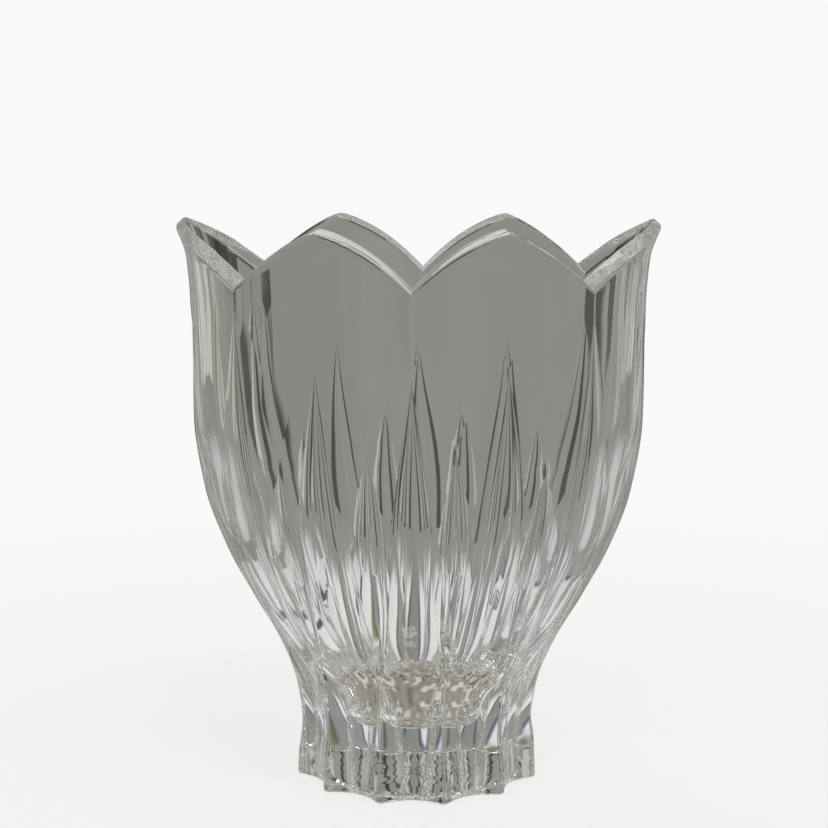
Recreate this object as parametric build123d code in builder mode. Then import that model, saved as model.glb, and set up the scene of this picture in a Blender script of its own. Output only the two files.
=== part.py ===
from build123d import *
import os
from math import cos, pi, radians, sin

# Cut crystal vase: an oval tulip bowl with six pointed petals, on a round twelve-ridged foot.
# Origin at the centre of the underside, +Z up. X runs along the wide axis of the bowl and
# the front face looks along -Y. Azimuths are measured from the front face, towards +X.

# ---- driving dimensions, millimetres and degrees ----
HEIGHT = 200.0  # from the underside to the points of the petals
FOOT_RADIUS = 44.2  # to the ridges of the foot
WAIST_RADIUS = 42.4  # to the ridges, where the stem is narrowest
BOWL_HALF_WIDTH = 80.0  # of the upper wall, along X
BOWL_HALF_DEPTH = 47.0  # of the upper wall, along Y
LIP_FLARE = 5.4  # how far the side points lean out past the upper wall
BOWL_SQUARENESS = 2.35  # exponent of the oval: 2 is an ellipse

PETALS = 6
BROAD_POINT_Z = 198.8  # points of the four petals of the broad faces
BROAD_POINT_SHARE = 0.54  # of the way from the middle valley to the side valley, along X
MIDDLE_VALLEY_Z = 177.2  # lowest point of the lip between the two petals of a broad face
SIDE_VALLEY_Z = 178.6  # lowest point of the lip beside an end petal
BROAD_BULGE = 1.8  # how far each curved side of a petal bows out of its straight chord
END_BULGE = 3.2  # the same for the end petals

FLOOR_Z = 22.0  # the solid base is this thick
FLOOR_RADIUS = 17.0
FLOOR_ROUNDING = 5.0

FLUTES = 12  # long round-bottomed cuts from the underside up into the bowl
FLUTE_DEPTH = 4.6  # at the foot
FLUTE_RADIUS = 15.0  # of the round bottom, at the foot
FLUTE_TIP_SHARE = 0.35  # of that radius is left where the flute dies out
FLUTE_FADE = 0.7  # power of the way down from the top: how fast a flute gains depth
MIDDLE_FLUTE_TOP = 150.0  # where a flute under a middle valley or a petal point dies out
SIDE_FLUTE_TOP = 162.0  # where a flute under a side valley dies out
SIDE_FLUTES = (2, 4, 8, 10)  # counted from the front face
FLUTE_LEVELS = 8

LEAF_BOTTOM = 40.0  # short leaf-shaped cuts split each ridge between two flutes
LEAF_TOP = 122.0
LEAF_DEPTH = 2.4
LEAF_RADIUS = 7.0
LEAF_LEVELS = 7
LEAF_OFFSET = 0.5  # of the way from one flute to the next

SECTION_POINTS = 24
REACH = 200.0  # well past the outside of the bowl, for cutting shapes
MARGIN = 1.0  # how far a cutting shape starts below what it cuts

# Height, half width, half depth and squareness of the uncut outer surface.
OUTER_SECTIONS = [
    (0.0, FOOT_RADIUS, FOOT_RADIUS, 2.0),
    (6.0, FOOT_RADIUS, FOOT_RADIUS, 2.0),
    (20.0, WAIST_RADIUS, WAIST_RADIUS, 2.0),
    (34.0, FOOT_RADIUS, 43.2, 2.0),
    (50.0, 50.2, 44.6, 2.05),
    (66.0, 59.4, 45.8, 2.15),
    (84.0, 68.8, 46.6, 2.25),
    (104.0, 75.8, BOWL_HALF_DEPTH, BOWL_SQUARENESS),
    (130.0, 79.6, BOWL_HALF_DEPTH, BOWL_SQUARENESS),
    (170.0, BOWL_HALF_WIDTH, BOWL_HALF_DEPTH, BOWL_SQUARENESS),
    (186.0, 81.2, BOWL_HALF_DEPTH + 1.0, BOWL_SQUARENESS),
    (HEIGHT, BOWL_HALF_WIDTH + LIP_FLARE, BOWL_HALF_DEPTH + 3.0, BOWL_SQUARENESS),
]
# The same four numbers for the cavity: a thick low wall that thins towards the lip.
INNER_SECTIONS = [
    (FLOOR_Z, FLOOR_RADIUS, FLOOR_RADIUS, 2.0),
    (32.0, 22.0, 22.0, 2.0),
    (48.0, 36.0, 32.0, 2.05),
    (66.0, 49.0, 37.0, 2.15),
    (84.0, 59.5, 39.4, 2.25),
    (104.0, 67.2, 40.5, BOWL_SQUARENESS),
    (130.0, 73.2, 41.6, BOWL_SQUARENESS),
    (170.0, 75.2, 42.4, BOWL_SQUARENESS),
    (186.0, 76.4, 43.4, BOWL_SQUARENESS),
    (HEIGHT + MARGIN, 80.8, 45.6, BOWL_SQUARENESS),
]


def oval_radius(half_width, half_depth, squareness, azimuth):
    """Distance from the axis to the oval |x/a|^n + |y/b|^n = 1 in one direction."""
    across = abs(sin(radians(azimuth)) / half_width) ** squareness
    along = abs(cos(radians(azimuth)) / half_depth) ** squareness
    return (across + along) ** (-1.0 / squareness)


def at_azimuth(radius, azimuth):
    """The point at a distance from the axis in one direction."""
    return (radius * sin(radians(azimuth)), -radius * cos(radians(azimuth)))


def oval_points(half_width, half_depth, squareness):
    """Points of the oval, evenly spaced in azimuth."""
    azimuths = [360.0 * step / SECTION_POINTS for step in range(SECTION_POINTS)]
    radii = [oval_radius(half_width, half_depth, squareness, a) for a in azimuths]
    return [at_azimuth(r, a) for r, a in zip(radii, azimuths)]


def outer_radius(height, azimuth):
    """Distance from the axis to the uncut outer surface, between two of its sections."""
    for low, high in zip(OUTER_SECTIONS, OUTER_SECTIONS[1:]):
        if height <= high[0]:
            share = (height - low[0]) / (high[0] - low[0])
            size = [start + share * (end - start) for start, end in zip(low, high)]
            return oval_radius(*size[1:], azimuth)


# ---- outer form and cavity, each lofted through its sections ----
with BuildPart() as outer:
    for height, half_width, half_depth, squareness in OUTER_SECTIONS:
        with BuildSketch(Plane.XY.offset(height)):
            with BuildLine():
                Spline(*oval_points(half_width, half_depth, squareness), periodic=True)
            make_face()
    loft()

with BuildPart() as cavity:
    for height, half_width, half_depth, squareness in INNER_SECTIONS:
        with BuildSketch(Plane.XY.offset(height)):
            with BuildLine():
                Spline(*oval_points(half_width, half_depth, squareness), periodic=True)
            make_face()
    loft()
    fillet(cavity.edges().group_by(Axis.Z)[0], FLOOR_ROUNDING)

# ---- the long flutes: tapering cuts that follow the wall up and die out in a point ----
with BuildPart() as flutes:
    for flute in range(FLUTES):
        azimuth = 360.0 * flute / FLUTES
        top = SIDE_FLUTE_TOP if flute in SIDE_FLUTES else MIDDLE_FLUTE_TOP
        for level in range(FLUTE_LEVELS):
            fade = 1.0 - level / (FLUTE_LEVELS - 1)
            height = top * (1.0 - fade)
            radius = FLUTE_RADIUS * (FLUTE_TIP_SHARE + (1.0 - FLUTE_TIP_SHARE) * fade)
            depth = FLUTE_DEPTH * fade**FLUTE_FADE
            centre = outer_radius(height, azimuth) + radius - depth
            with BuildSketch(Plane.XY.offset(height if height else -MARGIN)):
                with Locations(at_azimuth(centre, azimuth)):
                    Circle(radius)
        loft()

# ---- the leaf cuts: short, deepest half way up, pointed at both ends ----
with BuildPart() as leaves:
    for leaf in range(FLUTES):
        azimuth = 360.0 * (leaf + LEAF_OFFSET) / FLUTES
        for level in range(LEAF_LEVELS):
            share = level / (LEAF_LEVELS - 1)
            height = LEAF_BOTTOM + share * (LEAF_TOP - LEAF_BOTTOM)
            depth = LEAF_DEPTH * sin(pi * share)
            centre = outer_radius(height, azimuth) + LEAF_RADIUS - depth
            with BuildSketch(Plane.XY.offset(height)):
                with Locations(at_azimuth(centre, azimuth)):
                    Circle(LEAF_RADIUS)
        loft()

with BuildPart() as crystal:
    add(outer.part)
    add(flutes.part, mode=Mode.SUBTRACT)
    add(leaves.part, mode=Mode.SUBTRACT)
    add(cavity.part, mode=Mode.SUBTRACT)

# ---- foot: the solid twelve-ridged base up to the cavity floor ----
with BuildPart() as foot:
    add(crystal.part)
    split(bisect_by=Plane.XY.offset(FLOOR_Z), keep=Keep.BOTTOM)
foot.part.label = "foot"

# ---- the six petals of the bowl, from the foot up, divided along the valleys of the lip ----
SECTOR = 360.0 / PETALS
VALLEY_X = at_azimuth(outer_radius(SIDE_VALLEY_Z, SECTOR), SECTOR)[0]
VALLEY_Y = -at_azimuth(outer_radius(SIDE_VALLEY_Z, SECTOR), SECTOR)[1]
MIDDLE_VALLEY = (0, MIDDLE_VALLEY_Z)


def petal_outline(left, point, right, bulge, reach_left, reach_right):
    """Draws a petal seen face on: two bowed sides rise from the valleys to a point."""
    left_side = SagittaArc(Vector(*left), Vector(*point), bulge)
    right_side = SagittaArc(left_side @ 1, Vector(*right), bulge)
    Polyline(
        right_side @ 1,
        (reach_right, right[1]),
        (reach_right, FLOOR_Z),
        (reach_left, FLOOR_Z),
        (reach_left, left[1]),
        left_side @ 0,
    )


petals = {}
for index, name in enumerate(
    ("front_right", "right", "back_right", "back_left", "left", "front_left")
):
    start = SECTOR * index
    end = start + SECTOR
    with BuildPart() as petal:
        add(crystal.part)
        with BuildSketch(Plane.XY.offset(FLOOR_Z)):
            with BuildLine():
                Polyline(
                    (0, 0),
                    at_azimuth(REACH, start),
                    at_azimuth(REACH, (start + end) / 2),
                    at_azimuth(REACH, end),
                    close=True,
                )
            make_face()
        extrude(amount=HEIGHT, mode=Mode.INTERSECT)
        is_side = name in ("right", "left")
        with BuildSketch(Plane.YZ if is_side else Plane.XZ):
            with BuildLine():
                if is_side:
                    left = (-VALLEY_Y, SIDE_VALLEY_Z)
                    right = (VALLEY_Y, SIDE_VALLEY_Z)
                    petal_outline(left, (0, HEIGHT), right, END_BULGE, -REACH, REACH)
                elif name.endswith("right"):
                    point = (BROAD_POINT_SHARE * VALLEY_X, BROAD_POINT_Z)
                    right = (VALLEY_X, SIDE_VALLEY_Z)
                    petal_outline(MIDDLE_VALLEY, point, right, BROAD_BULGE, -MARGIN, REACH)
                else:
                    left = (-VALLEY_X, SIDE_VALLEY_Z)
                    point = (-BROAD_POINT_SHARE * VALLEY_X, BROAD_POINT_Z)
                    petal_outline(left, point, MIDDLE_VALLEY, BROAD_BULGE, -REACH, MARGIN)
            make_face()
        extrude(amount=REACH, both=True, mode=Mode.INTERSECT)
    petal.part.label = "petal_" + name
    petals[petal.part.label] = petal.part

os.makedirs("parts", exist_ok=True)
export_step(foot.part, "parts/foot.step")
for label, part in petals.items():
    export_step(part, "parts/" + label + ".step")
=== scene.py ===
from math import pi, radians

import bpy
import numpy as np
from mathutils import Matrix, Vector


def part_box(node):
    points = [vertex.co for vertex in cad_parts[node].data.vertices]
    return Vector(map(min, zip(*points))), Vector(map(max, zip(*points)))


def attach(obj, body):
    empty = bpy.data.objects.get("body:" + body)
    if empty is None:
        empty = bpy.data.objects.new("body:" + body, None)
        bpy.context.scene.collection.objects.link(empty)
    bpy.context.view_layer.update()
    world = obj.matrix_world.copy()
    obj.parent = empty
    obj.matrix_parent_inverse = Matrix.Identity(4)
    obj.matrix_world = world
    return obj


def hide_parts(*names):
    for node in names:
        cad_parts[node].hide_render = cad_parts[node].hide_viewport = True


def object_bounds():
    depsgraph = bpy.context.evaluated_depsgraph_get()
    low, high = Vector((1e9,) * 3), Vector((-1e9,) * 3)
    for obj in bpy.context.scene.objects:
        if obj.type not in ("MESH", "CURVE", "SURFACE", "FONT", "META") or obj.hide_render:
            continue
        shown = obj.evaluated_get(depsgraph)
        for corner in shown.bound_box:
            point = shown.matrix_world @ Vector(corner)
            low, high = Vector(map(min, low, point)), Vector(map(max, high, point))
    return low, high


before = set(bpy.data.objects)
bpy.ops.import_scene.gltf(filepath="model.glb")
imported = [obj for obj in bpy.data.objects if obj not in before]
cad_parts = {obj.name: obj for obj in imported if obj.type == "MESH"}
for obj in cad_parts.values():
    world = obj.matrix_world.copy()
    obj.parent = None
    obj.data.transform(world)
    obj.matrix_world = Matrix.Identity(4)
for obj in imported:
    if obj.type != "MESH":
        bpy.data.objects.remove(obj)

# Cut crystal vase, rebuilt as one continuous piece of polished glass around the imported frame.
# Lengths in the shape code are millimetres in the frame's own axes: X along the wide axis of
# the oval bowl, the front face towards -Y, Z up from the underside. They become metres when
# the mesh is made. Azimuths are measured from the front face towards +X, in radians.
# The stage, the camera and the lights are in metres.

MM = 0.001
cad_low, cad_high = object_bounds()
foot_low, foot_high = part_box("foot")
front_low, front_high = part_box("petal_front_right")

# ---- driving sizes, from the frame ----
HEIGHT = cad_high.z / MM
LIP_REACH = cad_high.x / MM + 1.0  # of the full-height wall: the rounded points end inside it
FLOOR_Z = foot_high.z / MM  # the cavity floor, on top of the solid base
FOOT_RADIUS = foot_high.x / MM + 0.9  # the foot's ridges straddle the X axis
HALF_WIDTH = cad_high.x / MM - 5.4  # of the upper wall
HALF_DEPTH = -front_low.y / MM - 1.3
WAIST_RADIUS = FOOT_RADIUS - 1.8
SQUARENESS = 2.35  # exponent of the oval bowl: 2 is an ellipse

# ---- form of the walls: height, half width, half depth and exponent of each section ----
OUTER = np.array(
    [
        (0.0, FOOT_RADIUS, FOOT_RADIUS, 2.0),
        (7.0, FOOT_RADIUS - 0.3, FOOT_RADIUS - 0.3, 2.0),
        (20.0, WAIST_RADIUS, WAIST_RADIUS, 2.0),
        (34.0, FOOT_RADIUS, FOOT_RADIUS - 1.0, 2.0),
        (50.0, 50.2, HALF_DEPTH - 2.4, 2.05),
        (66.0, 59.4, HALF_DEPTH - 1.2, 2.15),
        (84.0, 68.8, HALF_DEPTH - 0.4, 2.25),
        (104.0, 75.8, HALF_DEPTH, SQUARENESS),
        (130.0, HALF_WIDTH - 0.4, HALF_DEPTH, SQUARENESS),
        (170.0, HALF_WIDTH, HALF_DEPTH, SQUARENESS),
        (186.0, HALF_WIDTH + 1.2, HALF_DEPTH + 0.4, SQUARENESS),
        (HEIGHT, LIP_REACH, HALF_DEPTH + 1.0, SQUARENESS),
    ]
)
INNER = np.array(
    [
        (FLOOR_Z, 17.0, 17.0, 2.0),
        (28.0, 18.5, 18.5, 2.0),
        (33.0, 21.5, 21.5, 2.0),
        (38.0, 27.0, 26.5, 2.0),
        (45.0, 34.0, 32.0, 2.0),
        (54.0, 41.5, 36.0, 2.05),
        (66.0, 50.0, 38.2, 2.15),
        (84.0, 60.5, 40.0, 2.25),
        (104.0, HALF_WIDTH - 12.5, HALF_DEPTH - 6.2, SQUARENESS),
        (130.0, HALF_WIDTH - 6.8, HALF_DEPTH - 5.4, SQUARENESS),
        (170.0, HALF_WIDTH - 4.6, HALF_DEPTH - 4.6, SQUARENESS),
        (186.0, HALF_WIDTH - 2.9, HALF_DEPTH - 4.0, SQUARENESS),
        (HEIGHT, LIP_REACH - 4.3, HALF_DEPTH - 3.5, SQUARENESS),
    ]
)
FLOOR_CORNER_HEIGHT = 5.0  # of the rounding between the cavity's wall and its floor
FLAT_FLOOR_SHARE = 0.7  # of the floor's radius is flat inside that rounding

# ---- petals of the lip ----
FLUTES = 12  # a flute under every valley and every point of the lip
HALF_TURN = FLUTES // 2  # the pattern of cuts and petals repeats after half a turn
# Height of the lip's inner edge at the middle valley, a broad face's point, a side valley and
# an end point, and how far the bevel drops from there to the outer edge.
CREST_HEIGHTS = (HEIGHT - 21.8, HEIGHT - 1.0, HEIGHT - 19.7, HEIGHT - 0.2)
BEVEL_DROPS = (2.2, 2.0, 3.9, 2.8)
BROAD_BOW = 1.42  # slope of a petal's edge at the valley, over its mean slope
END_BOW = 1.8
POINT_ROUNDING = 0.05  # of a petal's width is rounded at its point
POINT_SETBACK = 0.6  # of that rounding is given back, so the point stays near full height
# azimuth in degrees of each cut of a quarter of the bowl: flute, leaf, flute and so on
BOWL_AZIMUTHS = (0.0, 17.9, 36.3, 47.9, 61.0, 74.9, 90.0)
SPREAD_START = 30.0  # the evenly spaced cuts of the foot move to those azimuths
SPREAD_END = 100.0  # between these heights
LIP_ROUNDING = 1.1
CREASE_DEPTH = 0.5  # of the soft crease that runs down from each valley
CREASE_HALF_WIDTH = 13.0
CREASE_START = 115.0
CREASE_END = HEIGHT - 20.0

# ---- cuts ----
FLUTE_WIDTH = 15.2
FLUTE_TAPER = 1.5
FLUTE_MIN_WIDTH = 0.001
FLUTE_BLEND = 6  # power of the blend between a flute's own width and the room it has
FLUTE_SLOPE_HEIGHTS = (0.0, 25.0, 55.0, 90.0)
FLUTE_SLOPES = (0.95, 0.7, 0.38, 0.33)  # of a flute's sides where they meet the wall
FLUTE_TIP_SLOPE = 0.5
FLUTE_POWER = 2.0  # round-bottomed at the foot
BOWL_POWER = 2.4  # and flat-bottomed with rounded sides in the bowl
POWER_START = 20.0
POWER_END = 60.0
# heights where flutes die out: under the middle valley, point, side valley and end point
FLUTE_TOPS = (147.0, 150.0, 168.0, 156.0)
LEAF_BOTTOM = 40.0
LEAF_MIDDLE = 86.0
LEAF_TOPS = (122.0, 116.0, 112.0)  # from the middle of a broad face to its end
LEAF_WIDTH = 6.4
LEAF_POWER = 1.7
LEAF_SLOPE = 0.78
LEAF_TIP_SLOPE = 0.45
LEAF_TIP_LENGTH = 14.0
LEAF_CURVE_POWER = 2.0
RIDGE_HALF_WIDTH = 0.5  # polished edge left between two cuts
RIDGE_DROP = 0.2
RIDGE_FADE = 10.0  # the edges die out this far above the leaves
CUT_MIN = 0.12  # half width that the mesh keeps where a cut has died out
LAND_MIN = 0.25  # of plain wall left between a flute and the cut beside it
LAND_MARGIN = 0.3  # of plain wall beside a cut, meshed on its own to keep the edge crisp
REOPENING = 25.0  # columns spread out evenly again over this height above a cut's tip

# ---- underside ----
FOOT_ROUNDING = 1.3
RIM_OF_FOOT = 33.0  # the foot rests on the ring outside this radius
RIM_SHARES = (0.25, 0.55, 0.8, 1.0)  # rows across that ring
RECESS = 1.2
RECESS_WIDTH = 3.0  # of the slope from the ring into the recess
STAR_RADIUS = 30.0
STAR_SLOPE = 0.06
STAR_TAPER = 0.35  # how fast a ray widens towards the middle
STAR_FADE = 2.0  # its depth grows over this length at its tip
STAR_MIN_WIDTH = 0.3
RECESS_RADII = np.concatenate([[32.3, 31.6], np.linspace(30.5, 1.0, 22)])

# ---- mesh density ----
FLUTE_STEPS = 7
LAND_STEPS = 3
LEAF_STEPS = 5
HALF_STEPS = FLUTE_STEPS + LAND_STEPS + LEAF_STEPS
COLUMNS = 2 * FLUTES * HALF_STEPS
STRETCH_START = 170.0  # above this height the rows bend to follow the lip
STRETCH_ROWS = 16
SETTLE_HEIGHT = 30.0  # below it the cavity's columns return to even spacing over this height
WALL_ROWS = 112
INNER_ROWS = 60
FOOT_CORNER_ROWS = 5
LIP_CORNER_ROWS = 4
FLOOR_CORNER_ROWS = 8
FLOOR_SHARES = (0.7, 0.4, 0.1)  # rows across the flat of the cavity floor
TABLE_STEPS = 2880  # of the walk round the wall that spaces the columns by distance
SHARP_ANGLE = radians(15.0)  # edges that turn by more than this stay crisp


def smooth_curve(knots, values, where):
    """Piecewise cubic through the knots that never overshoots them."""
    steps = np.diff(knots)
    slopes = np.diff(values) / steps
    tangents = np.zeros_like(values)
    for i in range(1, len(values) - 1):
        before, after = slopes[i - 1], slopes[i]
        if before * after > 0:
            w_before = 2 * steps[i] + steps[i - 1]
            w_after = steps[i] + 2 * steps[i - 1]
            tangents[i] = (w_before + w_after) / (w_before / before + w_after / after)
    tangents[0], tangents[-1] = slopes[0], slopes[-1]
    where = np.clip(where, knots[0], knots[-1])
    i = np.clip(np.searchsorted(knots, where, side="right") - 1, 0, len(steps) - 1)
    t = (where - knots[i]) / steps[i]
    start = (1 + 2 * t) * (1 - t) ** 2 * values[i] + t * (1 - t) ** 2 * steps[i] * tangents[i]
    end = t * t * (3 - 2 * t) * values[i + 1] + t * t * (t - 1) * steps[i] * tangents[i + 1]
    return start + end


def smooth_step(low, high, x):
    """Rises smoothly from 0 at low to 1 at high, which may be the lower of the two."""
    t = np.clip((x - low) / (high - low), 0, 1)
    return t * t * (3 - 2 * t)


def wall_radius(sections, azimuth, z):
    """Distance from the axis to a wall in one direction at one height."""
    a, b, n = (smooth_curve(sections[:, 0], sections[:, k], z) for k in (1, 2, 3))
    across = np.abs(np.sin(azimuth) / a) ** n
    along = np.abs(np.cos(azimuth) / b) ** n
    return (across + along) ** (-1 / n)


def on_circle(radius, azimuth, z):
    """Points at a distance from the axis, in some directions, at some height."""
    return np.stack([radius * np.sin(azimuth), -radius * np.cos(azimuth), z + 0 * azimuth], axis=-1)


def wall_point(sections, azimuth, z):
    """Points of a wall in some directions at some height."""
    return on_circle(wall_radius(sections, azimuth, z), azimuth, z)


def cut_azimuth(u, z):
    """Azimuth of cut number u, where whole numbers are flutes and halves are leaves.
    The cuts are evenly spaced on the round foot. In the oval bowl they move towards its ends."""
    spread = smooth_step(SPREAD_START, SPREAD_END, z)
    quarter = np.radians(BOWL_AZIMUTHS)
    half_turn = np.concatenate([quarter, pi - quarter[-2::-1]])
    full_turn = np.concatenate([half_turn, pi + half_turn[1:]])
    in_bowl = np.interp(u, np.arange(2 * FLUTES + 1) / 2, full_turn)
    return 2 * pi / FLUTES * np.asarray(u) * (1 - spread) + in_bowl * spread


def flute_top(k):
    """Height where flute k dies out."""
    return FLUTE_TOPS[min(k % HALF_TURN, HALF_TURN - k % HALF_TURN)]


def leaf_top(k):
    """Height where the leaf between flutes k and k + 1 dies out."""
    return LEAF_TOPS[min(k % HALF_TURN, HALF_TURN - 1 - k % HALF_TURN)]


def leaf_half_width(k, z):
    """Half the width of a leaf: widest in the middle and pointed at both ends."""
    above = np.clip((z - LEAF_MIDDLE) / (leaf_top(k) - LEAF_MIDDLE), 0, 1)
    below = np.clip((LEAF_MIDDLE - z) / (LEAF_MIDDLE - LEAF_BOTTOM), 0, 1)
    return LEAF_WIDTH * (1 - above**LEAF_POWER) * (1 - below**LEAF_POWER)


def flute_half_width(k, z, room):
    """Half the width of a flute: it fills the room between two ridges low down, then tapers."""
    taper = FLUTE_WIDTH * (1 - np.clip(z / flute_top(k), 0, 1) ** FLUTE_TAPER) + FLUTE_MIN_WIDTH
    return (taper**-FLUTE_BLEND + room**-FLUTE_BLEND) ** (-1 / FLUTE_BLEND)


def flute_depth(k, z, half_width, distance):
    """Depth of a flute at some distances from its middle line."""
    heights = [*FLUTE_SLOPE_HEIGHTS, flute_top(k)]
    slope = np.interp(z, heights, [*FLUTE_SLOPES, FLUTE_TIP_SLOPE])
    power = FLUTE_POWER + (BOWL_POWER - FLUTE_POWER) * smooth_step(POWER_START, POWER_END, z)
    bowl = np.clip(1 - (distance / half_width) ** power, 0, None)
    return slope * half_width / power * bowl


def leaf_depth(k, z, half_width, distance):
    """Depth of a leaf at some distances from its middle line, shallower near its tips."""
    from_tip = min(leaf_top(k) - z, z - LEAF_BOTTOM) / LEAF_TIP_LENGTH
    slope = LEAF_TIP_SLOPE + (LEAF_SLOPE - LEAF_TIP_SLOPE) * min(from_tip, 1)
    bowl = np.clip(1 - (distance / half_width) ** LEAF_CURVE_POWER, 0, None)
    return slope * half_width / LEAF_CURVE_POWER * bowl


def half_unit(flute, leaf, z, span):
    """Mesh columns from a flute's middle line to the middle line of the leaf beside it, which is
    span away: their distances from the flute's line and how deep the wall is cut there."""
    leaf_cut = max(leaf_half_width(leaf, z), 0.0)
    ridge = RIDGE_HALF_WIDTH * smooth_step(LEAF_MIDDLE, LEAF_BOTTOM, z)
    leaf_zone = max(leaf_cut, ridge, CUT_MIN)
    flute_cut = flute_half_width(flute, z, span - leaf_zone - LAND_MIN)
    top = flute_top(flute)
    reopened = smooth_step(top, top + REOPENING, z) * FLUTE_STEPS / HALF_STEPS
    flute_zone = max(flute_cut, CUT_MIN, reopened * span)
    top = leaf_top(leaf)
    reopened = smooth_step(top, top + REOPENING, z) * LEAF_STEPS / HALF_STEPS
    leaf_zone = max(leaf_zone, reopened * span)
    margin = min(LAND_MARGIN, (span - leaf_zone - flute_zone) / LAND_STEPS)
    from_flute = np.concatenate(
        [
            flute_zone * np.sin(np.linspace(0, pi / 2, FLUTE_STEPS + 1))[:-1],
            [flute_zone, flute_zone + margin, span - leaf_zone - margin],
            span - leaf_zone * np.sin(np.linspace(pi / 2, 0, LEAF_STEPS + 1)),
        ]
    )
    from_leaf = span - from_flute
    depth = flute_depth(flute, z, flute_cut, from_flute)
    if leaf_cut > ridge:
        depth = np.maximum(depth, leaf_depth(leaf, z, leaf_cut, from_leaf))
    fade = smooth_step(LEAF_TOPS[0] + RIDGE_FADE, LEAF_BOTTOM, z)
    nearness = np.clip(from_leaf / RIDGE_HALF_WIDTH, 0, 1)
    return from_flute, depth + RIDGE_DROP * fade * nearness**2


class Row:
    """One row of mesh columns round the wall: where the columns stand and how deep they are cut."""

    def __init__(self, z):
        table = np.linspace(0, 2 * pi, TABLE_STEPS + 1)
        line = wall_point(OUTER, table, np.full_like(table, z))
        lengths = np.hypot(*(np.diff(line[:, :2], axis=0).T))
        along = np.concatenate([[0], np.cumsum(lengths)])
        azimuths, depths = [], []
        for half in range(2 * FLUTES):
            flute = (half + 1) // 2 % FLUTES
            start, end = np.interp(cut_azimuth(np.array([half, half + 1]) / 2, z), table, along)
            distance, depth = half_unit(flute, half // 2, z, end - start)
            if half % 2:
                distance = end - start - distance[::-1]
                depth = depth[::-1]
            azimuths.append(np.interp(start + distance[:-1], along, table))
            depths.append(depth[:-1])
        self.azimuth = np.concatenate(azimuths)
        self.depth = np.concatenate(depths)


def petal_share(azimuth):
    """0 at a valley of the lip and 1 at a petal's point, with the point itself rounded off,
    and the cut number there."""
    u = np.interp(azimuth, cut_azimuth(np.arange(FLUTES + 1), HEIGHT), np.arange(FLUTES + 1))
    from_point = np.abs(u % 2 - 1)
    rounded = np.sqrt(from_point**2 + POINT_ROUNDING**2) - POINT_ROUNDING * POINT_SETBACK
    return 1 - np.minimum(rounded, 1), u


def at_cuts(values, u):
    """Picks the value for the nearest valley and for the nearest point of the lip."""
    folded = np.abs((u + HALF_TURN / 2) % HALF_TURN - HALF_TURN / 2)
    valley = np.where(folded < 1, values[0], values[2])
    point = np.where(folded < 2, values[1], values[3])
    return valley, point


def crest_height(azimuth):
    """Height of the lip's inner edge: bowed petal sides that meet in a point."""
    share, u = petal_share(azimuth)
    valley, point = at_cuts(CREST_HEIGHTS, u)
    _, bow = at_cuts((0, BROAD_BOW, 0, END_BOW), u)
    return valley + (point - valley) * (bow * share - (bow - 1) * share**2)


def bevel_drop(azimuth):
    """How far the lip's outer edge lies below its inner edge."""
    share, u = petal_share(azimuth)
    valley, point = at_cuts(BEVEL_DROPS, u)
    return valley + (point - valley) * share


def crease(azimuth, z):
    """Depth of the soft creases under the valleys."""
    centres = cut_azimuth(np.arange(0, FLUTES + 1, 2), HEIGHT)
    apart = np.min(np.abs(azimuth[..., None] - centres), axis=-1)
    distance = apart * wall_radius(OUTER, azimuth, z)
    strength = CREASE_DEPTH * smooth_step(CREASE_START, CREASE_END, z)
    return strength * np.clip(1 - distance / CREASE_HALF_WIDTH, 0, 1) ** 2


def inward(points):
    """Unit horizontal directions that point into the wall, from one closed row of points."""
    along = np.roll(points, -1, axis=0) - np.roll(points, 1, axis=0)
    normal = np.stack([-along[:, 1], along[:, 0], 0 * along[:, 0]], axis=-1)
    return normal / np.linalg.norm(normal, axis=1, keepdims=True)


def outer_row(row, z):
    """The cut outer wall's points at the row's columns."""
    plain = wall_point(OUTER, row.azimuth, z)
    depth = row.depth + crease(row.azimuth, z)
    return plain + inward(plain) * depth[:, None]


def rounded_corner(before, corner, after, steps):
    """Points of a quadratic curve that rounds off a corner."""
    rows = []
    for t in np.linspace(0, 1, steps + 1):
        rows.append((1 - t) ** 2 * before + 2 * t * (1 - t) * corner + t * t * after)
    return rows


def towards(a, b, distance):
    """The points that lie a distance along the way from a to b."""
    step = b - a
    return a + step * (distance / np.linalg.norm(step, axis=-1, keepdims=True))


def recess_row(row, r):
    """One ring of the recess, dented by a star with a ray between every two flutes."""
    sector = pi / FLUTES
    unit, step = np.divmod(np.arange(COLUMNS), 2 * HALF_STEPS)
    from_ray = np.abs(step - HALF_STEPS)
    half_width = min(sector * r, max(STAR_MIN_WIDTH, (STAR_RADIUS - r) * STAR_TAPER))
    half_angle = half_width / r
    beside = (sector - half_angle) * (from_ray - LEAF_STEPS) / (HALF_STEPS - LEAF_STEPS)
    in_ray = half_angle * from_ray / LEAF_STEPS
    angle = np.where(from_ray <= LEAF_STEPS, in_ray, half_angle + beside)
    azimuth = (unit * 2 + 1) * sector + np.sign(step - HALF_STEPS) * angle
    settle = smooth_step(RIM_OF_FOOT, STAR_RADIUS, r)
    azimuth = row.azimuth + (azimuth - row.azimuth) * settle
    groove = STAR_SLOPE * np.clip(half_width - angle * r, 0, None)
    groove = groove * smooth_step(STAR_RADIUS, STAR_RADIUS - STAR_FADE, r)
    dome = RECESS * smooth_step(RIM_OF_FOOT, RIM_OF_FOOT - RECESS_WIDTH, r)
    return on_circle(r, azimuth, dome + groove)


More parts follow.
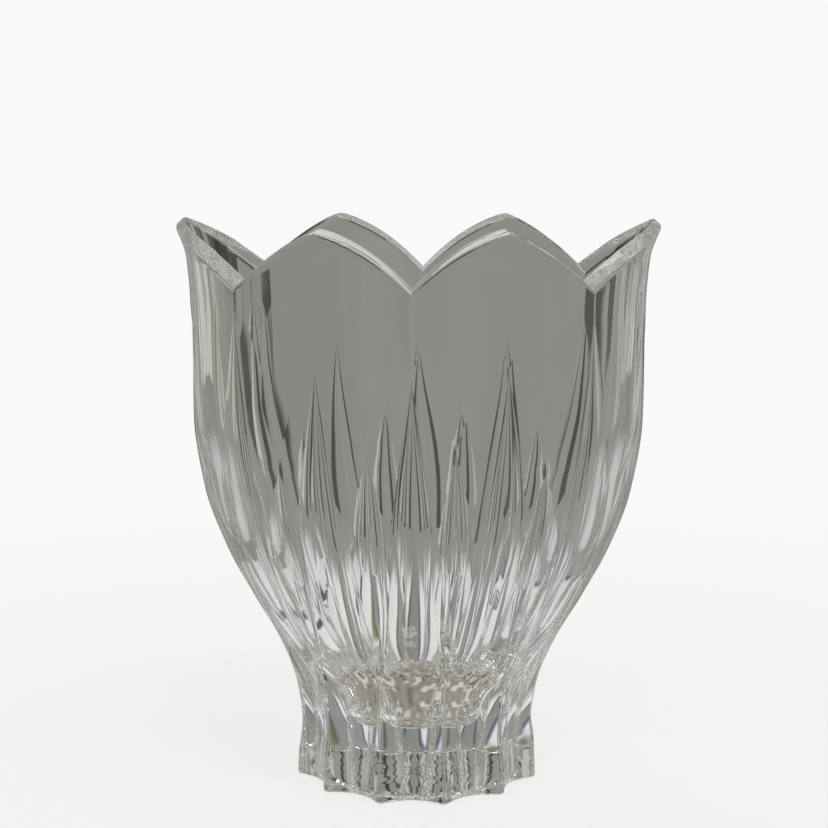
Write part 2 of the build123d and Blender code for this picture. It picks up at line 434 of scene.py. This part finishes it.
def underside_rows(row):
    """Rows from the rounded bottom edge of the foot in to the middle of its star-cut recess."""
    edge = outer_row(row, np.zeros(COLUMNS))
    wall = outer_row(row, np.full(COLUMNS, FOOT_ROUNDING))
    inside = edge + inward(edge) * FOOT_ROUNDING
    ring = on_circle(RIM_OF_FOOT, row.azimuth, 0.0)
    rows = rounded_corner(wall, edge, inside, FOOT_CORNER_ROWS)
    rows += [inside + (ring - inside) * share for share in RIM_SHARES]
    rows += [recess_row(row, r) for r in RECESS_RADII]
    return rows


def outside_rows():
    """Rows up the outside, from the rounded bottom edge to where they start to bend."""
    heights = np.linspace(FOOT_ROUNDING, STRETCH_START, WALL_ROWS + 1)[1:]
    return [outer_row(Row(z), np.full(COLUMNS, z)) for z in heights]


def lip_rows(top):
    """Rows that follow the lip up the outside, over its rounded bevel and down the inside."""
    crest_z = crest_height(top.azimuth)
    edge_z = crest_z - bevel_drop(top.azimuth)
    rows = []
    for share in np.linspace(0, 1, STRETCH_ROWS + 1)[1:]:
        rows.append(outer_row(top, STRETCH_START + share * (edge_z - LIP_ROUNDING - STRETCH_START)))
    edge = outer_row(top, edge_z)
    crest = wall_point(INNER, top.azimuth, crest_z)
    below = wall_point(INNER, top.azimuth, crest_z - LIP_ROUNDING)
    on_bevel = towards(edge, crest, LIP_ROUNDING)
    rows += rounded_corner(rows[-1], edge, on_bevel, LIP_CORNER_ROWS)[1:]
    rows += rounded_corner(towards(crest, edge, LIP_ROUNDING), crest, below, LIP_CORNER_ROWS)
    for share in np.linspace(0, 1, STRETCH_ROWS // 2 + 1)[1:]:
        z = crest_z - LIP_ROUNDING + share * (STRETCH_START - crest_z + LIP_ROUNDING)
        rows.append(wall_point(INNER, top.azimuth, z))
    return rows


def cavity_rows(top):
    """Rows down the cavity's wall, round the corner and across its floor."""
    even = cut_azimuth(np.arange(COLUMNS) * FLUTES / COLUMNS, HEIGHT)
    rows = []
    for z in np.linspace(STRETCH_START, FLOOR_Z + FLOOR_CORNER_HEIGHT, INNER_ROWS)[1:]:
        settle = smooth_step(STRETCH_START, STRETCH_START - SETTLE_HEIGHT, z)
        azimuth = top.azimuth + (even - top.azimuth) * settle
        rows.append(wall_point(INNER, azimuth, np.full(COLUMNS, z)))
    corner = rows[-1] * [1, 1, 0] + [0, 0, FLOOR_Z]
    flat = corner * [FLAT_FLOOR_SHARE, FLAT_FLOOR_SHARE, 1]
    rows += rounded_corner(rows[-1], corner, flat, FLOOR_CORNER_ROWS)[1:]
    rows += [flat * [share, share, 1] for share in FLOOR_SHARES]
    return rows


def build_vase():
    """One closed mesh, in rows from the middle of the underside round to the middle of the floor."""
    top = Row(STRETCH_START)
    rows = underside_rows(Row(0.0))[::-1] + outside_rows() + lip_rows(top) + cavity_rows(top)
    middles = [[[0, 0, rows[0][0, 2]]], [[0, 0, rows[-1][0, 2]]]]
    points = np.concatenate(rows + middles) * MM
    under, floor = len(points) - 2, len(points) - 1
    column = np.arange(COLUMNS)
    following = (column + 1) % COLUMNS
    faces = []
    for i in range(len(rows) - 1):
        low, high = i * COLUMNS, (i + 1) * COLUMNS
        ring = [low + column, low + following, high + following, high + column]
        faces += np.stack(ring, axis=1).tolist()
    last = (len(rows) - 1) * COLUMNS
    faces += [[under, int(b), int(a)] for a, b in zip(column, following)]
    faces += [[floor, last + int(a), last + int(b)] for a, b in zip(column, following)]
    mesh = bpy.data.meshes.new("crystal_vase")
    mesh.from_pydata(points.tolist(), [], faces)
    mesh.validate()
    mesh.update()
    mesh.shade_smooth()
    mesh.set_sharp_from_angle(angle=SHARP_ANGLE)
    return place_mesh("crystal_vase", mesh)


# ---- small helpers for objects and shader nodes ----
MIX_FACTOR, MIX_A, MIX_B = 0, 6, 7  # a colour mix node's inputs
MIX_RESULT = 2  # and its output


def place_mesh(name, mesh):
    """An object that shows the mesh."""
    holder = bpy.data.objects.new(name, mesh)
    bpy.context.scene.collection.objects.link(holder)
    return holder


def new_node(nodes, kind, inputs=(), **settings):
    """A shader node with its settings and the fixed values of its inputs."""
    node = nodes.new(kind)
    for name, value in settings.items():
        setattr(node, name, value)
    for name, value in dict(inputs).items():
        node.inputs[name].default_value = value
    return node


def new_material(name):
    """An empty material, its nodes and their links."""
    material = bpy.data.materials.new(name)
    material.use_nodes = True
    material.node_tree.nodes.clear()
    return material, material.node_tree.nodes, material.node_tree.links


def noise(nodes, links, place, scale, detail):
    """Soft noise in the object's own space."""
    texture = new_node(nodes, "ShaderNodeTexNoise", {"Scale": scale, "Detail": detail})
    links.new(place.outputs["Object"], texture.inputs["Vector"])
    return texture.outputs[0]


def soft_step(nodes, links, value, low, high, height=1.0):
    """Rises smoothly from 0 to height as a value goes from low to high."""
    limits = {"From Min": low, "From Max": high, "To Min": 0.0, "To Max": height}
    step = new_node(nodes, "ShaderNodeMapRange", limits, interpolation_type="SMOOTHSTEP")
    links.new(value, step.inputs["Value"])
    return step.outputs["Result"]


def color_ramp(nodes, links, value, stops):
    """A colour for each value from 0 to 1, from a list of positions and colours."""
    ramp = nodes.new("ShaderNodeValToRGB")
    elements = ramp.color_ramp.elements
    while len(elements) < len(stops):
        elements.new(0.5)
    for element, (position, color) in zip(elements, stops):
        element.position = position
        element.color = (*color, 1)
    links.new(value, ramp.inputs[0])
    return ramp.outputs[0]


def mix_colors(nodes, links, factor, first, second):
    """Mixes two colours, each of them a fixed colour or another node's output."""
    mix = new_node(nodes, "ShaderNodeMix", data_type="RGBA")
    links.new(factor, mix.inputs[MIX_FACTOR])
    for place, color in ((MIX_A, first), (MIX_B, second)):
        if isinstance(color, tuple):
            mix.inputs[place].default_value = (*color, 1)
        else:
            links.new(color, mix.inputs[place])
    return mix.outputs[MIX_RESULT]


# ---- the crystal ----
CRYSTAL_IOR = 1.54
CLEAR = (1.0, 1.0, 1.0)
FAINT_TINT = (0.965, 0.975, 0.955)
WEAR_SCALE = 140.0
WEAR_RANGE = (0.45, 0.8)  # of the noise, from full polish to the most wear
WEAR_ROUGHNESS = 0.012
WAVE_SCALE = 45.0
WAVE_STRENGTH = 0.05
WAVE_HEIGHT = 0.001


def crystal_material():
    """Lead crystal: slightly wavy from the mould, with a faint bloom of wear in its polish."""
    material, nodes, links = new_material("polished_crystal")
    glass = {"IOR": CRYSTAL_IOR, "Transmission Weight": 1.0}
    shader = new_node(nodes, "ShaderNodeBsdfPrincipled", glass)
    place = nodes.new("ShaderNodeTexCoord")
    wear = noise(nodes, links, place, WEAR_SCALE, 3.0)
    start, end = WEAR_RANGE
    limits = {"From Min": start, "From Max": end, "To Min": 0.0, "To Max": WEAR_ROUGHNESS}
    polish = new_node(nodes, "ShaderNodeMapRange", limits)
    waves = noise(nodes, links, place, WAVE_SCALE, 1.0)
    ripple = {"Strength": WAVE_STRENGTH, "Distance": WAVE_HEIGHT}
    bump = new_node(nodes, "ShaderNodeBump", ripple)
    tint = mix_colors(nodes, links, waves, CLEAR, FAINT_TINT)
    out = nodes.new("ShaderNodeOutputMaterial")
    links.new(wear, polish.inputs["Value"])
    links.new(waves, bump.inputs["Height"])
    links.new(tint, shader.inputs["Base Color"])
    links.new(polish.outputs["Result"], shader.inputs["Roughness"])
    links.new(bump.outputs["Normal"], shader.inputs["Normal"])
    links.new(shader.outputs["BSDF"], out.inputs["Surface"])
    return material


# ---- camera: the photograph's viewing angle ----
CAMERA_PLACE = (0.0325, -0.717, 0.246)
CAMERA_AZIMUTH = radians(2.7)
CAMERA_PITCH = radians(9.2)
CAMERA_LENS = 88.9


def build_camera():
    """A camera in front, slightly above and to the right, that looks a little down."""
    camera = bpy.data.objects.new("camera", bpy.data.cameras.new("camera"))
    bpy.context.scene.collection.objects.link(camera)
    camera.location = CAMERA_PLACE
    camera.rotation_euler = (pi / 2 - CAMERA_PITCH, 0, CAMERA_AZIMUTH)
    camera.data.lens = CAMERA_LENS
    bpy.context.scene.camera = camera


# ---- stage: a white studio for the camera, and a dim room that only the glass sees ----
LIGHT_BOUNCES = 64
BACKDROP = (0.95, 0.95, 0.95, 1)
FLOOR_REACH = 60.0
FLOOR_SHADE = (0.35, 0.35, 0.35, 1)
FLOOR_GLOW = (0.75, 0.75, 0.75, 1)
FLOOR_FADE = (0.15, 0.5)  # from the vase, where the floor turns into the backdrop
FLOOR_DROP = 0.0005  # below the foot, and the table's a little less
TABLE_DROP = 0.0004
TABLE_EDGES = (-0.6, -0.5, 0.6, 0.38)  # left, near, right and far
LAMP_COLOR = (1.0, 1.0, 0.98, 1)
LAMP_TARGET = (0, 0, 0.1)

# Brightness of the room round the vase, by azimuth in degrees. 0 is straight behind the vase,
# positive to the right, and each value holds up to the next one. Soft windows and dark doorways.
ROOM = [
    (-180, 0.27), (-112, 0.24), (-84, 0.05), (-75, 0.24), (-64, 0.56), (-46, 0.25), (-29, 0.5),
    (-20, 0.25), (-14, 0.035), (-9.5, 0.25), (-4.5, 0.275), (-1, 0.26), (2.5, 0.27), (5.5, 0.035),
    (11, 0.25), (22, 0.45), (34, 0.25), (50, 0.56), (64, 0.05), (72, 0.24), (88, 0.65),
    (108, 0.24), (128, 0.27),
]
ROOM_SOFTNESS = 0.8  # degrees, half the width of each change
ROOM_TINT = (1.0, 1.01, 0.925, 1)

# Painted light and shade on the glowing table, by distance in metres left or right of the vase's
# axis: pale bands of painted light, grey bands and narrow dark bands of painted shade, two of them
# tinted as painted coloured glints.
STRIPE_LIGHT_TINT = (0.97, 1.0, 0.985)
OLIVE = (1.0, 0.95, 0.3)
VIOLET = (0.8, 0.72, 1.35)
TABLE_STRIPES = [
    (-0.30, 0.60), (-0.21, 0.5), (-0.205, 0.25), (-0.165, 0.25), (-0.16, 0.62), (-0.098, 0.74),
    (-0.094, 0.05), (-0.087, 0.07), (-0.084, 0.74), (-0.034, 0.8), (-0.031, 0.22, OLIVE),
    (-0.025, 0.05), (-0.023, 0.24), (0.008, 0.26), (0.010, 0.05), (0.014, 0.24, VIOLET),
    (0.017, 0.76), (0.046, 0.8), (0.049, 0.07), (0.053, 0.25), (0.068, 0.26), (0.072, 0.74),
    (0.12, 0.66), (0.125, 0.07), (0.132, 0.30), (0.18, 0.32), (0.19, 0.55), (0.30, 0.60),
]
TABLE_REACH = 0.3  # of the stripes to each side
TABLE_END = (0.33, 0.46)  # behind the vase, where the stripes fade into the room
TABLE_END_WANDER = 0.3  # how much nearer that fade comes in places
TABLE_END_SCALE = 40.0
TABLE_ROUND = (0.26, 0.46)  # from the vase's axis, where they fade on every side
ROOM_GREY = (0.25, 0.2525, 0.231)
# painted shade under the foot, mottled beige with painted glints, by the share of the noise there
PAINTED_SHADE_UNDER_VASE = [
    (0.3, (0.17, 0.16, 0.14)), (0.42, (0.27, 0.25, 0.215)), (0.56, (0.3, 0.275, 0.235)),
    (0.66, (0.6, 0.57, 0.52)),
]
PAINTED_SHADE_UNDER_VASE_SCALE = 105.0
PAINTED_SHADE_UNDER_VASE_EDGE = (0.042, 0.056)


def floor_material():
    """Pale floor that fades into the white backdrop with distance from the vase."""
    material, nodes, links = new_material("floor")
    place = nodes.new("ShaderNodeTexCoord")
    length = new_node(nodes, "ShaderNodeVectorMath", operation="LENGTH")
    limits = {"From Min": FLOOR_FADE[0], "From Max": FLOOR_FADE[1]}
    fade = new_node(nodes, "ShaderNodeMapRange", limits)
    near = new_node(nodes, "ShaderNodeBsdfDiffuse", {"Color": FLOOR_SHADE})
    glow = new_node(nodes, "ShaderNodeEmission", {"Color": FLOOR_GLOW})
    both = nodes.new("ShaderNodeAddShader")
    far = new_node(nodes, "ShaderNodeEmission", {"Color": BACKDROP})
    mix = nodes.new("ShaderNodeMixShader")
    out = nodes.new("ShaderNodeOutputMaterial")
    links.new(place.outputs["Object"], length.inputs[0])
    links.new(length.outputs["Value"], fade.inputs["Value"])
    links.new(near.outputs[0], both.inputs[0])
    links.new(glow.outputs[0], both.inputs[1])
    links.new(fade.outputs["Result"], mix.inputs[0])
    links.new(both.outputs[0], mix.inputs[1])
    links.new(far.outputs[0], mix.inputs[2])
    links.new(mix.outputs[0], out.inputs["Surface"])
    return material


def painted_light_and_shade_stripes(nodes, links, x):
    """The table's stripes of painted light and painted shade, by distance to the side."""
    limits = {"From Min": -TABLE_REACH, "From Max": TABLE_REACH}
    scale = new_node(nodes, "ShaderNodeMapRange", limits)
    links.new(x, scale.inputs["Value"])
    stops = []
    for distance, value, *tint in TABLE_STRIPES:
        color = [value * part for part in (tint[0] if tint else STRIPE_LIGHT_TINT)]
        stops.append(((distance / TABLE_REACH + 1) / 2, color))
    return color_ramp(nodes, links, scale.outputs["Result"], stops)


def painted_stripes_fade(nodes, links, x, y, distance):
    """0 on the painted stripes and 1 past their uneven far end and past their outer edge."""
    texture = {"Scale": TABLE_END_SCALE, "Detail": 1.0}
    wander = new_node(nodes, "ShaderNodeTexNoise", texture, noise_dimensions="1D")
    moved = new_node(nodes, "ShaderNodeMath", {1: TABLE_END_WANDER}, operation="MULTIPLY_ADD")
    links.new(x, wander.inputs["W"])
    links.new(wander.outputs[0], moved.inputs[0])
    links.new(y, moved.inputs[2])
    far = soft_step(nodes, links, moved.outputs[0], *TABLE_END)
    around = soft_step(nodes, links, distance, *TABLE_ROUND)
    either = new_node(nodes, "ShaderNodeMath", operation="MAXIMUM")
    links.new(far, either.inputs[0])
    links.new(around, either.inputs[1])
    return either.outputs[0]


def table_material():
    """What the glass sees of the glowing table: painted shade under the vase, mottled with painted
    glints, with stripes of painted light and painted shade round it that fade into the room's grey."""
    material, nodes, links = new_material("table")
    place = nodes.new("ShaderNodeTexCoord")
    split = nodes.new("ShaderNodeSeparateXYZ")
    length = new_node(nodes, "ShaderNodeVectorMath", operation="LENGTH")
    links.new(place.outputs["Object"], split.inputs[0])
    links.new(place.outputs["Object"], length.inputs[0])
    x, y, distance = split.outputs["X"], split.outputs["Y"], length.outputs["Value"]
    # painted shade under the foot, mottled with painted glints
    shade_and_glint_mottle = noise(nodes, links, place, PAINTED_SHADE_UNDER_VASE_SCALE, 0.0)
    under = color_ramp(nodes, links, shade_and_glint_mottle, PAINTED_SHADE_UNDER_VASE)
    # stripes of painted light and painted shade
    stripes = painted_light_and_shade_stripes(nodes, links, x)
    faded = painted_stripes_fade(nodes, links, x, y, distance)
    stripe_light_and_shade = mix_colors(nodes, links, faded, stripes, ROOM_GREY)
    outside = soft_step(nodes, links, distance, *PAINTED_SHADE_UNDER_VASE_EDGE)
    # the table glows with this painted light and shade
    glow = nodes.new("ShaderNodeEmission")
    out = nodes.new("ShaderNodeOutputMaterial")
    links.new(mix_colors(nodes, links, outside, under, stripe_light_and_shade), glow.inputs["Color"])
    links.new(glow.outputs[0], out.inputs["Surface"])
    return material


def stage_plane(name, left, near, right, far, material):
    """A flat rectangle of the stage."""
    corners = [(left, near, 0), (right, near, 0), (right, far, 0), (left, far, 0)]
    mesh = bpy.data.meshes.new(name)
    mesh.from_pydata(corners, [], [(0, 1, 2, 3)])
    mesh.materials.append(material)
    plane = place_mesh(name, mesh)
    return plane


def build_lamp(name, centre, width, height, strength):
    """A soft rectangular lamp over the vase, which the camera doesn't see."""
    material, nodes, links = new_material(name)
    glow = new_node(nodes, "ShaderNodeEmission", {"Color": LAMP_COLOR, "Strength": strength})
    out = nodes.new("ShaderNodeOutputMaterial")
    links.new(glow.outputs[0], out.inputs["Surface"])
    lamp = stage_plane(name, -width / 2, -height / 2, width / 2, height / 2, material)
    lamp.location = centre
    facing = Vector(LAMP_TARGET) - Vector(centre)
    lamp.rotation_euler = facing.to_track_quat("Z", "Y").to_euler()
    lamp.visible_camera = False
    lamp.visible_shadow = False


def build_stage():
    """The floor that the camera sees, the table that the glass sees and two lamps."""
    s = FLOOR_REACH
    floor = stage_plane("floor", -s, -s, s, s, floor_material())
    floor.location.z = -FLOOR_DROP
    floor.visible_transmission = False
    floor.visible_glossy = False
    table = stage_plane("table", *TABLE_EDGES, table_material())
    table.location.z = -TABLE_DROP
    table.visible_camera = False
    table.visible_shadow = False
    table.visible_diffuse = False
    build_lamp("ceiling", centre=(0.25, -0.5, 1.2), width=0.6, height=0.25, strength=4.0)
    build_lamp("ceiling_back", centre=(-0.3, 0.9, 1.2), width=0.5, height=0.2, strength=3.0)


def room_brightness(nodes, links, azimuth):
    """A chain of soft steps, one for each change of the room's brightness."""
    total = None
    for (_, before), (degrees, value) in zip(ROOM, ROOM[1:]):
        low, high = radians(degrees - ROOM_SOFTNESS), radians(degrees + ROOM_SOFTNESS)
        step = soft_step(nodes, links, azimuth, low, high, value - before)
        add = new_node(nodes, "ShaderNodeMath", operation="ADD")
        links.new(step, add.inputs[0])
        if total is None:
            add.inputs[1].default_value = before
        else:
            links.new(total, add.inputs[1])
        total = add.outputs[0]
    return total


def build_world():
    """White behind the vase for the camera, and the room for everything that the glass sees."""
    world = bpy.data.worlds.new("studio")
    bpy.context.scene.world = world
    world.use_nodes = True
    nodes, links = world.node_tree.nodes, world.node_tree.links
    nodes.clear()
    place = nodes.new("ShaderNodeTexCoord")
    split = nodes.new("ShaderNodeSeparateXYZ")
    turn = new_node(nodes, "ShaderNodeMath", operation="ARCTAN2")
    path = nodes.new("ShaderNodeLightPath")
    room = new_node(nodes, "ShaderNodeBackground", {"Color": ROOM_TINT})
    seen = new_node(nodes, "ShaderNodeBackground", {"Color": BACKDROP})
    mix = nodes.new("ShaderNodeMixShader")
    out = nodes.new("ShaderNodeOutputWorld")
    links.new(place.outputs["Generated"], split.inputs[0])
    links.new(split.outputs["X"], turn.inputs[0])
    links.new(split.outputs["Y"], turn.inputs[1])
    links.new(room_brightness(nodes, links, turn.outputs[0]), room.inputs["Strength"])
    links.new(path.outputs["Is Camera Ray"], mix.inputs[0])
    links.new(room.outputs[0], mix.inputs[1])
    links.new(seen.outputs[0], mix.inputs[2])
    links.new(mix.outputs[0], out.inputs["Surface"])


def set_light_paths():
    """Enough bounces for light that runs along inside the wall, and plain display colours."""
    scene = bpy.context.scene
    scene.view_settings.view_transform = "Standard"
    scene.cycles.max_bounces = LIGHT_BOUNCES
    scene.cycles.transmission_bounces = LIGHT_BOUNCES
    scene.cycles.glossy_bounces = LIGHT_BOUNCES


vase = build_vase()
vase.data.materials.append(crystal_material())
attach(vase, "root")
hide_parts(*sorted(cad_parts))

build_camera()
build_stage()
build_world()
set_light_paths()
